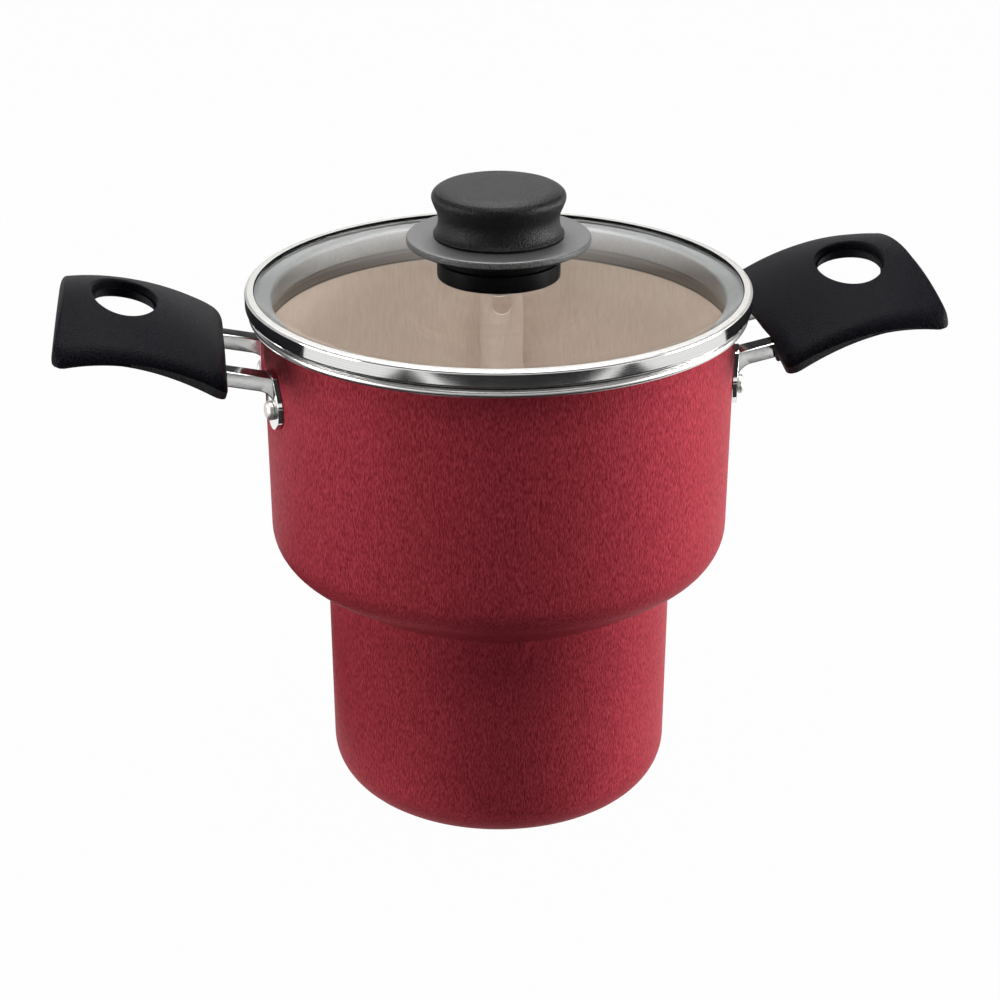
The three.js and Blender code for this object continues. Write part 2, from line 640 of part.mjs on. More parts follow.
// A block under the wing's inner end that the bracket slides into from below
function noseGeometry() {
  const start = (handleInner - MOUTH_RADIUS) / Math.cos(ARM_RISE) + SEAT_GAP;
  const end = ARM_LENGTH + NOSE_END;
  const section = new THREE.Shape([
    new THREE.Vector2(start, -armHalf),
    new THREE.Vector2(end, -armHalf),
    new THREE.Vector2(end, NOSE_TOP_OUTER),
    new THREE.Vector2(start, NOSE_TOP_INNER),
  ]);
  const halfWidth = armOuter + SEAT_GAP + NOSE_CHEEK;
  const block = new THREE.ExtrudeGeometry(section, { depth: 2 * halfWidth, bevelEnabled: false });
  return fromArmFrame(block.rotateX(Math.PI / 2).translate(0, halfWidth, 0));
}

const insertSeat = armHalf + 2 * SEAT_GAP;

function handleGeometry() {
  const side = armOuter + SEAT_GAP;
  const depth = 2 * ARM_THICKNESS;
  const pocket = armBox(0, ARM_LENGTH + SEAT_GAP, -side, side, -depth, armHalf + SEAT_GAP);
  const insertTopPlace = insertSeat + HANDLE_INSERT_LENGTH + SEAT_GAP;
  const bore = rod(HANDLE_INSERT_RADIUS + SEAT_GAP, 0, insertTopPlace, PIN_SEGMENTS);
  const boreTool = fromArmFrame(bore.translate(handleScrewPlace, 0, 0));
  return toGeometry(cut(join(wingGeometry(), noseGeometry()), pocket, boreTool));
}

function handleScrewGeometry() {
  const seat = -armHalf - SEAT_GAP;
  const tip = insertSeat + HANDLE_INSERT_LENGTH - SEAT_GAP;
  const head = [HANDLE_SCREW_HEAD_RADIUS, HANDLE_SCREW_HEAD_HEIGHT];
  const screw = screwGeometry(HANDLE_SCREW_RADIUS, ...head, seat, tip);
  return fromArmFrame(screw.translate(handleScrewPlace, 0, 0));
}

function handleInsertGeometry() {
  const bore = HANDLE_SCREW_RADIUS + SEAT_GAP;
  const top = insertSeat + HANDLE_INSERT_LENGTH;
  const insert = tube(bore, HANDLE_INSERT_RADIUS, insertSeat, top, PIN_SEGMENTS);
  return fromArmFrame(insert.translate(handleScrewPlace, 0, 0));
}

const SIDES = { right: 0, left: Math.PI };
const RIVET_ENDS = { rear: 1, front: -1 };

const bodyHoles = Object.values(SIDES).flatMap((turn) => (
  Object.values(RIVET_ENDS).map((end) => atRivet(rivetHole(), end, turn))
));
addPiece('pot_body', vesselGeometry(bodyHoles), 'redCoat');

const trayGroup = new THREE.Group();
trayGroup.rotation.z = STRAP_AZIMUTH;
steamer.add(trayGroup);
addPiece('steam_tray', trayGeometry(), 'aluminium', trayGroup);
addPiece('tray_strap', strapGeometry(), 'beigeCoat', trayGroup);
for (const [place, rivetInset] of Object.entries(strapRivetInsets)) {
  const rivet = strapRivetGeometry().translate(strapRadius - rivetInset, 0, 0);
  addPiece(`strap_rivet_${place}`, rivet, 'aluminium', trayGroup);
}

addPiece('lid_glass', glassGeometry(), 'glass');
addPiece('lid_rim', lidRimGeometry(), 'steel');
addPiece('knob_collar', tube(screwHole, COLLAR_RADIUS, collarBottom, collarTop, KNOB_SEGMENTS), 'blackResin');
addPiece('knob_guard', guardGeometry(), 'blackResin');
addPiece('knob', knobGeometry(), 'blackResin');
addPiece('knob_insert', tube(screwHole, KNOB_INSERT_RADIUS, insertBottom, insertTop, PIN_SEGMENTS), 'brass');
addPiece('knob_seal', tube(screwHole, KNOB_SEAL_RADIUS, sealBottom, sealTop, WASHER_SEGMENTS), 'softSeal');
const washer = tube(screwHole, KNOB_WASHER_RADIUS, washerBottom, washerTop, WASHER_SEGMENTS);
addPiece('knob_washer', washer, 'steel');
const knobScrewTip = insertBottom + KNOB_SCREW_REACH;
const knobScrewHead = [KNOB_SCREW_HEAD_RADIUS, KNOB_SCREW_HEAD_HEIGHT];
const knobScrew = screwGeometry(KNOB_SCREW_RADIUS, ...knobScrewHead, screwSeat, knobScrewTip);
addPiece('knob_screw', knobScrew, 'steel');

for (const [side, turn] of Object.entries(SIDES)) {
  const sideGroup = new THREE.Group();
  sideGroup.rotation.z = turn;
  steamer.add(sideGroup);
  addPiece(`${side}_bracket`, bracketGeometry(), 'steel', sideGroup);
  addPiece(`${side}_handle`, handleGeometry(), 'blackResin', sideGroup);
  addPiece(`${side}_handle_insert`, handleInsertGeometry(), 'brass', sideGroup);
  addPiece(`${side}_handle_screw`, handleScrewGeometry(), 'steel', sideGroup);
  for (const [place, end] of Object.entries(RIVET_ENDS)) {
    addPiece(`${side}_${place}_rivet`, atRivet(rivetGeometry(), end, turn), 'aluminium');
  }
}

export default steamer;
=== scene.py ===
import math
import bpy
from mathutils import Matrix, Vector


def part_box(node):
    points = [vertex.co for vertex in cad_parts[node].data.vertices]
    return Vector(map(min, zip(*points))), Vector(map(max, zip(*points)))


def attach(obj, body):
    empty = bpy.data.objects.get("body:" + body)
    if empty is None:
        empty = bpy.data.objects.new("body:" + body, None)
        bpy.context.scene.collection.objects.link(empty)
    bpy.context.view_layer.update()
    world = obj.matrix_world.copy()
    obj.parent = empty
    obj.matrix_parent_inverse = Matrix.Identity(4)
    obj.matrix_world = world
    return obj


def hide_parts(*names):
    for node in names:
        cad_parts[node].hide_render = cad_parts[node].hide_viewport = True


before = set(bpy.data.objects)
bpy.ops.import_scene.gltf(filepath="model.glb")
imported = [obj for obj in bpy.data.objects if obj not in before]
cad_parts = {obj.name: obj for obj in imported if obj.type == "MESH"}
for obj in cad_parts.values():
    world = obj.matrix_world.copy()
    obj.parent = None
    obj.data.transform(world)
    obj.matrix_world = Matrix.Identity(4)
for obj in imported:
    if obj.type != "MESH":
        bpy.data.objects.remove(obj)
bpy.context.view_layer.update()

mm = 0.001
roundSides = 168
knobSides = 112
pinSides = 32
wallSides = 240
weldGap = 0.002 * mm
noiseSpan = (0.3, 0.7)  # most of a noise lies in this range
fullTurn = 2 * math.pi
scene = bpy.context.scene


# small tools that every piece uses

def deselectAll():
    if bpy.context.mode != "OBJECT":
        bpy.ops.object.mode_set(mode="OBJECT")
    bpy.ops.object.select_all(action="DESELECT")


def pick(piece):
    deselectAll()
    piece.select_set(True)
    bpy.context.view_layer.objects.active = piece


def named(piece, name):
    piece.name = name
    piece.data.name = name
    return piece


# a chain of edges pulled out of one vertex, point after point, left in edit mode
def drawOutline(name, points):
    deselectAll()
    bpy.ops.mesh.primitive_plane_add(size=mm)
    piece = named(bpy.context.object, name)
    bpy.ops.object.mode_set(mode="EDIT")
    bpy.ops.mesh.select_all(action="SELECT")
    bpy.ops.mesh.merge(type="CENTER")
    last = Vector(points[0])
    bpy.ops.transform.translate(value=last * mm)
    for point in points[1:]:
        step = Vector(point) - last
        bpy.ops.mesh.extrude_vertices_move(TRANSFORM_OT_translate={"value": step * mm})
        last = Vector(point)
    bpy.ops.mesh.select_all(action="SELECT")
    return piece


def closeSkin():
    bpy.ops.mesh.select_all(action="SELECT")
    bpy.ops.mesh.remove_doubles(threshold=weldGap)
    bpy.ops.mesh.normals_make_consistent(inside=False)
    bpy.ops.object.mode_set(mode="OBJECT")


# a section of (radius, height) points spun round the upright axis
def turnSection(name, section, sides):
    piece = drawOutline(name, [(r, 0, z) for r, z in section])
    bpy.ops.mesh.spin(steps=sides, angle=fullTurn, center=(0, 0, 0), axis=(0, 0, 1))
    closeSkin()
    return piece


# a flat outline pulled out into a block
def pullBlock(name, outline, along):
    piece = drawOutline(name, outline)
    bpy.ops.mesh.edge_face_add()
    bpy.ops.mesh.extrude_region_move(TRANSFORM_OT_translate={"value": Vector(along) * mm})
    closeSkin()
    return piece


# corners (a, b, radius) with a radius are turned into arcs
def easeCorners(corners, closed=False, degrees=10):
    points = []
    count = len(corners)
    for index, corner in enumerate(corners):
        here = Vector(corner[:2])
        ease = corner[2] if len(corner) > 2 else 0
        atEnd = not closed and index in (0, count - 1)
        if not ease or atEnd:
            points.append(tuple(here))
            continue
        before = (Vector(corners[index - 1][:2]) - here).normalized()
        after = (Vector(corners[(index + 1) % count][:2]) - here).normalized()
        half = before.angle(after) / 2
        middle = here + (before + after).normalized() * (ease / math.sin(half))
        reach = ease / math.tan(half)
        first = here + before * reach - middle
        last = here + after * reach - middle
        start = math.atan2(first.y, first.x)
        turn = math.remainder(math.atan2(last.y, last.x) - start, fullTurn)
        steps = max(2, math.ceil(abs(turn) / math.radians(degrees)))
        for i in range(steps + 1):
            angle = start + turn * i / steps
            points.append((middle.x + ease * math.cos(angle), middle.y + ease * math.sin(angle)))
    return points


# a smooth line through points, each stretch in a few steps
def smoothLine(points, steps):
    line = [points[0]]
    for i in range(len(points) - 1):
        a = Vector(points[max(i - 1, 0)])
        b, c = Vector(points[i]), Vector(points[i + 1])
        d = Vector(points[min(i + 2, len(points) - 1)])
        for k in range(1, steps + 1):
            t = k / steps
            bend = (2 * a - 5 * b + 4 * c - d) * t * t + (3 * b - a - 3 * c + d) * t ** 3
            line.append(tuple((2 * b + (c - a) * t + bend) / 2))
    return line


def applyModifier(piece, kind, **settings):
    pick(piece)
    modifier = piece.modifiers.new(kind.lower(), kind)
    for key, value in settings.items():
        setattr(modifier, key, value)
    bpy.ops.object.modifier_apply(modifier=modifier.name)


def combine(piece, tool, operation):
    applyModifier(piece, "BOOLEAN", operation=operation, solver="EXACT", object=tool)
    bpy.data.objects.remove(tool)
    return piece


def softenEdges(piece, width, segments=2, degrees=40):
    applyModifier(piece, "BEVEL", width=width * mm, segments=segments, limit_method="ANGLE",
                  angle_limit=math.radians(degrees))
    return piece


def applyPlace(piece):
    pick(piece)
    bpy.ops.object.transform_apply(location=True, rotation=True, scale=True)
    return piece


def place(piece, matrix):
    piece.matrix_world = matrix @ piece.matrix_world
    return applyPlace(piece)


def turnedCopy(piece, name, turn):
    pick(piece)
    bpy.ops.object.duplicate(linked=False)
    twin = named(bpy.context.object, name)
    return place(twin, Matrix.Rotation(turn, 4, "Z"))


# flat faces stay flat beside their rounded edges
def keepFlats(piece):
    applyModifier(piece, "WEIGHTED_NORMAL", keep_sharp=True)


# smooth shading, finish, body and the node that the piece stands for
def finishPiece(piece, body, node, slotName, *materials, degrees=32):
    pick(piece)
    bpy.ops.object.shade_smooth_by_angle(angle=math.radians(degrees))
    piece.data.materials.clear()
    for material in materials:
        piece.data.materials.append(material)
    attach(piece, body)
    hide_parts(node)


# finishes

class Finish:
    def __init__(self, name):
        self.material = bpy.data.materials.new(name)
        self.material.use_nodes = True
        self.nodes = self.material.node_tree.nodes
        self.links = self.material.node_tree.links
        self.shader = self.nodes["Principled BSDF"]
        self.place = self.nodes.new("ShaderNodeTexCoord").outputs["Object"]

    def set(self, **values):
        for key, value in values.items():
            self.shader.inputs[key.replace("_", " ")].default_value = value

    def add(self, kind, **settings):
        node = self.nodes.new("ShaderNode" + kind)
        for key, value in settings.items():
            setattr(node, key, value)
        return node

    def join(self, output, entry):
        self.links.new(output, entry)

    # a noise of grains of a size in mm, stretched or squeezed along each axis
    def grain(self, size, stretch=(1, 1, 1), detail=2, source=None):
        mapping = self.add("Mapping")
        mapping.inputs["Scale"].default_value = [1 / value for value in stretch]
        self.join(source or self.place, mapping.inputs["Vector"])
        noise = self.add("TexNoise")
        noise.inputs["Scale"].default_value = 1 / (size * mm)
        noise.inputs["Detail"].default_value = detail
        self.join(mapping.outputs["Vector"], noise.inputs["Vector"])
        return noise.outputs["Fac"]

    # (radius, 0, height) of a point round the upright axis, for turned marks
    def turnedPlace(self):
        split = self.add("SeparateXYZ")
        self.join(self.place, split.inputs["Vector"])
        flat = self.add("CombineXYZ")
        self.join(split.outputs["X"], flat.inputs["X"])
        self.join(split.outputs["Y"], flat.inputs["Y"])
        radius = self.add("VectorMath", operation="LENGTH")
        self.join(flat.outputs["Vector"], radius.inputs[0])
        both = self.add("CombineXYZ")
        self.join(radius.outputs["Value"], both.inputs["X"])
        self.join(split.outputs["Z"], both.inputs["Z"])
        return both.outputs["Vector"]

    def blend(self, factor, low, high, spread=(0.35, 0.65)):
        ramp = self.add("ValToRGB")
        ramp.color_ramp.elements[0].position, ramp.color_ramp.elements[1].position = spread
        ramp.color_ramp.elements[0].color = (*low, 1)
        ramp.color_ramp.elements[1].color = (*high, 1)
        self.join(factor, ramp.inputs["Fac"])
        return ramp.outputs["Color"]

    def colour(self, factor, low, high, spread=(0.35, 0.65)):
        self.join(self.blend(factor, low, high, spread), self.shader.inputs["Base Color"])

    def roughness(self, factor, low, high):
        span = self.add("MapRange")
        ends = {"From Min": noiseSpan[0], "From Max": noiseSpan[1], "To Min": low, "To Max": high}
        for key, value in ends.items():
            span.inputs[key].default_value = value
        self.join(factor, span.inputs["Value"])
        self.join(span.outputs["Result"], self.shader.inputs["Roughness"])

    def bump(self, factor, strength, depth):
        bump = self.add("Bump")
        bump.inputs["Strength"].default_value = strength
        bump.inputs["Distance"].default_value = depth * mm
        self.join(factor, bump.inputs["Height"])
        self.join(bump.outputs["Normal"], self.shader.inputs["Normal"])


def redCoatFinish():
    finish = Finish("redCoat")
    finish.set(Metallic=0.2, Specular_IOR_Level=0.06, Specular_Tint=(0.8, 0.25, 0.3, 1))
    flakes = finish.grain(0.38, stretch=(1, 1, 4.5), detail=2)
    finish.colour(flakes, (0.215, 0.017, 0.027), (0.465, 0.055, 0.077), (0.34, 0.68))
    finish.roughness(finish.grain(2.5), 0.42, 0.50)
    finish.bump(finish.grain(0.42, stretch=(1, 1, 4.5), detail=1), 0.4, 0.2)
    return finish.material


def beigeCoatFinish(name, dark, light):
    finish = Finish(name)
    finish.set(Metallic=0.12)
    streaks = finish.grain(0.9, stretch=(1, 1, 5), detail=2)
    finish.colour(streaks, dark, light, (0.3, 0.7))
    finish.roughness(finish.grain(4), 0.38, 0.48)
    finish.bump(finish.grain(0.8, stretch=(1, 1, 3), detail=1), 0.08, 0.05)
    return finish.material


def turnedMetalFinish(name, dark, light):
    finish = Finish(name)
    finish.set(Metallic=1)
    rings = finish.grain(0.25, detail=2, source=finish.turnedPlace())
    finish.colour(rings, dark, light)
    finish.roughness(rings, 0.24, 0.36)
    finish.bump(rings, 0.12, 0.03)
    return finish.material


def brightSteelFinish():
    finish = Finish("brightSteel")
    finish.set(Metallic=1)
    rings = finish.grain(0.35, detail=2, source=finish.turnedPlace())
    finish.colour(rings, (0.70, 0.70, 0.69), (0.80, 0.80, 0.79))
    finish.roughness(finish.grain(6), 0.08, 0.11)
    finish.bump(rings, 0.02, 0.01)
    return finish.material


def castBracketFinish():
    finish = Finish("castBracket")
    finish.set(Metallic=1)
    clouds = finish.grain(5, detail=3)
    finish.colour(clouds, (0.78, 0.78, 0.77), (0.87, 0.87, 0.86))
    finish.roughness(clouds, 0.08, 0.13)
    finish.bump(finish.grain(1.2, detail=2), 0.06, 0.05)
    return finish.material


def satinMetalFinish(name, dark, light, low, high):
    finish = Finish(name)
    finish.set(Metallic=1)
    clouds = finish.grain(0.9, detail=3)
    finish.colour(clouds, dark, light)
    finish.roughness(clouds, low, high)
    return finish.material


# grained resin, darkest on the handles and the collar, palest on the guard, whose paler top and edge are
# painted sheen
def blackResinFinish(name, dark, light, relief, shine, size=0.55, index=1.5):
    finish = Finish(name)
    finish.set(Specular_IOR_Level=shine, IOR=index)
    grains = finish.grain(size, detail=2)
    finish.colour(grains, dark, light, (0.36, 0.64))
    finish.roughness(grains, 0.38, 0.52)
    finish.bump(grains, relief, 0.2)
    return finish.material


def clearGlassFinish():
    finish = Finish("clearGlass")
    finish.set(Transmission_Weight=1, IOR=1.5, Roughness=0.0, Specular_Tint=(0.03, 0.03, 0.03, 1))
    finish.colour(finish.grain(40), (0.955, 0.975, 0.965), (0.975, 0.985, 0.98))
    return finish.material


def brassFinish():
    finish = Finish("brass")
    finish.set(Metallic=1)
    clouds = finish.grain(1.5)
    finish.colour(clouds, (0.40, 0.25, 0.065), (0.48, 0.31, 0.09))
    finish.roughness(clouds, 0.28, 0.4)
    return finish.material


def softSealFinish():
    finish = Finish("softSeal")
    clouds = finish.grain(2)
    finish.colour(clouds, (0.62, 0.60, 0.56), (0.70, 0.68, 0.64))
    finish.roughness(clouds, 0.65, 0.8)
    return finish.material


redCoat = redCoatFinish()
beigeCoat = beigeCoatFinish("beigeCoat", (0.62, 0.515, 0.437), (0.695, 0.583, 0.50))
# painted light: a paler copy of the inside coat for the strap, standing in for the light it catches
litStrapCoat = beigeCoatFinish("litStrapCoat", (0.66, 0.555, 0.475), (0.72, 0.608, 0.525))
lipMetal = turnedMetalFinish("lipMetal", (0.74, 0.735, 0.72), (0.86, 0.855, 0.84))
# painted shade: a much darker copy of the lip's bare metal for the bare band inside the mouth
shadedBandMetal = turnedMetalFinish("shadedBandMetal", (0.20, 0.198, 0.195), (0.32, 0.316, 0.31))
brightSteel = brightSteelFinish()
castBracket = castBracketFinish()
satinMetal = satinMetalFinish("satinMetal", (0.62, 0.61, 0.59), (0.72, 0.71, 0.69), 0.42, 0.52)
# painted shade: a darker copy of the satin metal for the lid band's skirt inside the mouth
shadedSkirtMetal = satinMetalFinish("shadedSkirtMetal", (0.29, 0.29, 0.29), (0.38, 0.38, 0.38), 0.45, 0.6)
handleResin = blackResinFinish("handleResin", (0.0, 0.0, 0.001), (0.006, 0.006, 0.009), 1.6, 0.05)
# painted reflection: a paler copy of the handle resin for the handles' outward edge band
handleEdgeReflection = blackResinFinish("handleEdgeReflection", (0.03, 0.03, 0.033), (0.06, 0.06, 0.064), 0.4, 0.05)
# painted light: a paler, shinier copy of the resin for the knob's top, a darker one for its sides
knobLitTopResin = blackResinFinish("knobLitTopResin", (0.0, 0.0, 0.0005), (0.014, 0.014, 0.016), 1.4, 0.36)
knobSide = blackResinFinish("knobSide", (0.0, 0.0, 0.0005), (0.005, 0.005, 0.006), 1.4, 0.2)
# painted sheen: paler copies of the black resin for the guard's top and its edge
guardTopSheen = blackResinFinish("guardTopSheen", (0.005, 0.005, 0.005), (0.035, 0.035, 0.034), 1.0, 1.0, index=1.9)
guardEdgeSheen = blackResinFinish("guardEdgeSheen", (0.04, 0.04, 0.04), (0.11, 0.11, 0.108), 0.6, 0.3)
# the collar's own dark resin, also used as painted shade under the guard and as the painted shadow line on
# the lid band
collarResinAndShade = blackResinFinish("collarResinAndShade", (0.001, 0.001, 0.0015), (0.003, 0.003, 0.004), 0.2, 0.05,
                               size=0.5)
clearGlass = clearGlassFinish()
brass = brassFinish()
softSeal = softSealFinish()
print("finishes made")


# vessel

vessel = {
    "outer": [(0, 0), (59.605, 0, 15), (60.3, 79.6, 0.8), (79.275, 91.92, 15), (80, 175, 1.0)],
    "lip": [(84.4, 175, 1.3), (84.4, 177.7, 1.3), (77.6, 177.7, 1.0)],
    "inner": [(76.887, 93.23, 12.6), (57.911, 80.91, 3.2), (57.226, 2.4, 12.6), (0, 2.4)],
    "bareBand": 166.8,  # bare metal above this height inside
    "baseRing": 43, "baseHeight": 0.05,  # bare underside of the base
    "lipEdge": 0.15, "faceTilt": 0.3, "longestStep": 12,
}


# outer face of the upper wall
def wallRadiusAt(height):
    (low, bottom, _), (high, top, _) = vessel["outer"][-2:]
    return low + (high - low) * (height - bottom) / (top - bottom)


def addEvenSteps(section, longest):
    points = [section[0]]
    for end in section[1:]:
        start = Vector(points[-1])
        span = Vector(end) - start
        steps = max(1, math.ceil(span.length / longest))
        points += [tuple(start + span * k / steps) for k in range(1, steps + 1)]
    return points


def makeVessel():
    section = easeCorners(vessel["outer"] + vessel["lip"] + vessel["inner"], degrees=7)
    pot = turnSection("steamerVessel", addEvenSteps(section, vessel["longestStep"]), roundSides)
    pick(pot)
    bpy.ops.object.mode_set(mode="EDIT")
    bpy.ops.mesh.select_all(action="SELECT")
    # a cut where the inside coat ends
    bpy.ops.mesh.bisect(plane_co=(0, 0, vessel["bareBand"] * mm), plane_no=(0, 0, 1))
    bpy.ops.object.mode_set(mode="OBJECT")
    finishPiece(pot, "vessel", "pot_body", "red_coat", redCoat, lipMetal, shadedBandMetal, beigeCoat, degrees=30)
    lipStart, tilt = vessel["outer"][-1][1] + vessel["lipEdge"], vessel["faceTilt"]
    for face in pot.data.polygons:
        middle = face.center / mm
        radius = math.hypot(middle.x, middle.y)
        outward = (middle.x * face.normal.x + middle.y * face.normal.y) / radius
        inside = outward < -tilt or (face.normal.z > tilt and middle.z < lipStart)
        onBase = middle.z < vessel["baseHeight"] and radius < vessel["baseRing"]
        if inside:
            # painted shade: the bare band inside takes the dark copy of the bare metal
            face.material_index = 2 if middle.z > vessel["bareBand"] else 3
        elif middle.z > lipStart or onBase:
            face.material_index = 1
    print("vessel turned")


makeVessel()


# tray and its strap, lying in the vessel at the strap's own turn

tray = {
    "turn": math.radians(80), "radius": 66, "gauge": 1.5, "edge": 0.45,
    "holeRadius": 2.6, "holeSides": 20, "pitch": 16, "rings": 3, "perRing": 6,
}
strap = {
    "radius": 62, "gauge": 1.5, "width": 15.6, "top": 170, "corner": 6, "foot": 18, "bend": 2.2,
    "slotWidth": 7.0, "slotTop": 164, "slotBottom": 149.5, "slotFlat": 0.01, "edge": 0.35,
    "rivets": {"inner": 48.5, "outer": 56.5}, "rivetHead": 2.6, "rivetHeight": 1.2, "rivetShank": 1.5,
    "rivetGap": 0.3,
}
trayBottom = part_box("steam_tray")[0][2] / mm
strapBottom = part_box("tray_strap")[0][2] / mm


def makeTray():
    top = trayBottom + tray["gauge"]
    r, edge = tray["radius"], tray["edge"]
    section = easeCorners([(0, trayBottom), (r, trayBottom, edge), (r, top, edge), (0, top)], degrees=30)
    disc = turnSection("steamTray", section, roundSides)
    footStart = strap["radius"] + strap["gauge"] - strap["foot"] - tray["holeRadius"]
    footSide = strap["width"] / 2 + tray["holeRadius"]
    drills = []
    for ring in range(tray["rings"] + 1):
        count = max(1, tray["perRing"] * ring)
        for i in range(count):
            angle = fullTurn * i / count
            x, y = ring * tray["pitch"] * math.cos(angle), ring * tray["pitch"] * math.sin(angle)
            if x > footStart and abs(y) < footSide:
                continue
            deselectAll()
            bpy.ops.mesh.primitive_cylinder_add(
                vertices=tray["holeSides"], radius=tray["holeRadius"] * mm, depth=4 * tray["gauge"] * mm,
                location=(x * mm, y * mm, top * mm))
            drills.append(bpy.context.object)
    deselectAll()
    for drill in drills:
        drill.select_set(True)
    bpy.context.view_layer.objects.active = drills[0]
    bpy.ops.object.join()
    combine(disc, drills[0], "DIFFERENCE")
    place(disc, Matrix.Rotation(tray["turn"], 4, "Z"))
    finishPiece(disc, "tray", "steam_tray", "aluminium", satinMetal)


def makeStrap():
    inner, outer = strap["radius"], strap["radius"] + strap["gauge"]
    low, half = strapBottom, strap["width"] / 2
    section = easeCorners([
        (outer - strap["foot"], low), (outer, low, strap["bend"] + strap["gauge"]), (outer, strap["top"]),
        (inner, strap["top"]), (inner, low + strap["gauge"], strap["bend"]),
        (outer - strap["foot"], low + strap["gauge"])])
    piece = pullBlock("trayStrap", [(x, -half, z) for x, z in section], (0, strap["width"], 0))
    # rounded top
    reach, top, corner = strap["width"], strap["top"], strap["corner"]
    outline = easeCorners([(-half, 0), (half, 0), (half, top, corner), (-half, top, corner)], closed=True)
    rounded = pullBlock("strapTop", [(0, y, z) for y, z in outline], (2 * outer, 0, 0))
    combine(piece, rounded, "INTERSECT")
    # slot with round ends
    side, under, over = strap["slotWidth"] / 2, strap["slotBottom"], strap["slotTop"]
    ease = side - strap["slotFlat"]
    ends = [(-side, under, ease), (side, under, ease), (side, over, ease), (-side, over, ease)]
    slot = pullBlock("strapSlot", [(inner - reach, y, z) for y, z in easeCorners(ends, closed=True)],
                     (2 * reach, 0, 0))
    combine(piece, slot, "DIFFERENCE")
    softenEdges(piece, strap["edge"])
    place(piece, Matrix.Rotation(tray["turn"], 4, "Z"))
    finishPiece(piece, "tray", "tray_strap", "beige_coat", litStrapCoat)


def makeStrapRivets():
    gap = strap["rivetGap"]
    under, over = trayBottom - gap, strapBottom + strap["gauge"] + gap
    head, height, shank = strap["rivetHead"], strap["rivetHeight"], strap["rivetShank"]
    section = easeCorners([
        (0, under - height), (head, under - height, 0.4), (head, under, 0.1), (shank, under), (shank, over),
        (head, over, 0.1), (head, over + height, 1.0), (0, over + height)], degrees=15)
    for name, radius in strap["rivets"].items():
        rivet = turnSection(name + "StrapRivet", section, pinSides)
        spot = Matrix.Rotation(tray["turn"], 4, "Z") @ Matrix.Translation((radius * mm, 0, 0))
        place(rivet, spot)
        finishPiece(rivet, "tray", "strap_rivet_" + name, "aluminium", satinMetal)


makeTray()
makeStrap()
makeStrapRivets()
print("tray and strap made")


# lid: crimped band, glass and the knob's stack

band = {
    "skirtRadius": 76.78, "skirtBottom": 172.2, "seat": 178.0, "seatRadius": 83.0, "gauge": 0.8,
    "radius": 85.4, "bottom": 179.0, "top": 184.4, "ledge": 82.2, "paintedShadowLine": 0.4,
    # rounding of the upper edge, then of the small corners from fine to full
    "ease": 1.1, "eases": (0.3, 0.5, 0.8), "ledgeEase": 0.2, "crimp": (0.2, 0.6), "topTilt": 0.6,
}
glass = {"radius": 83.0, "thickness": 3.9, "domeRadius": 940, "hole": 4.0, "edge": 0.9, "steps": 10}
collar = {"bore": 2.8, "edge": (0.5, 0.4)}
guard = {
    "bore": 2.8, "hub": 20.5, "hubHeight": 4.3, "step": 28.5, "stepHeight": 1.2, "radius": 31, "rimFlat": 3.5,
    "ease": 0.75, "eases": (0.4, 0.5, 0.6), "edgeStart": 29.8, "edgeTilt": -0.5, "topTilt": 0.8,
}
knob = {
    "side": [(21.2, 0.0), (22.0, 0.5), (21.75, 1.0), (21.1, 2.0), (20.55, 3.6), (20.35, 5.6), (20.5, 7.2),
             (20.95, 8.6), (21.7, 10.3), (22.3, 11.9), (22.5, 13.1), (22.2, 14.2), (21.3, 15.2),
             (20.0, 16.0)],
    "plateau": [(18.4, 16.5), (12, 16.85), (6, 16.97), (0, 17.0)],
    "steps": 4, "pocket": (5.3, 9.6), "topTilt": 0.8,
}
# the head is flatter than its solid
knobScrew = {"headHeight": 3, "flatHead": 1.4, "socket": (2.0, 0.8), "shank": 2.5}


def makeLidBand():
    gauge, radius, top, seat = band["gauge"], band["radius"], band["top"], band["seat"]
    skirt, skirtBottom, seatRadius = band["skirtRadius"], band["skirtBottom"], band["seatRadius"]
    ledge, inside, skirtInside = band["ledge"], radius - gauge, skirt - gauge
    fine, soft, full = band["eases"]
    crimpIn, crimpUp = band["crimp"]
    section = easeCorners([
        (skirt, skirtBottom, fine), (skirt, seat, soft), (seatRadius, seat, full),
        (radius - crimpIn, band["bottom"], soft), (radius, band["bottom"] + crimpUp, fine),
        (radius, top, band["ease"]), (ledge, top, fine), (ledge, top - gauge, band["ledgeEase"]),
        (inside, top - gauge, fine), (inside, band["bottom"] + gauge, fine), (seatRadius, seat + gauge, soft),
        (skirtInside, seat + gauge, full), (skirtInside, skirtBottom, fine)],
        closed=True, degrees=15)
    ring = turnSection("lidBand", section + section[:1], roundSides)
    finishPiece(ring, "lid", "lid_rim", "steel", brightSteel, shadedSkirtMetal, collarResinAndShade, satinMetal)
    # painted shade: a darker copy of the steel on the skirt below the glass, and a painted shadow line of
    # dark resin where the band is crimped on to it; brushed top
    for face in ring.data.polygons:
        middle = face.center / mm
        if math.hypot(middle.x, middle.y) < ledge + band["paintedShadowLine"]:
            face.material_index = 1 if middle.z < seat + 2 * gauge else 2
        elif face.normal.z > band["topTilt"]:
            face.material_index = 3
    keepFlats(ring)


def domeDrop(radius):
    return glass["domeRadius"] - math.sqrt(glass["domeRadius"] ** 2 - radius ** 2)


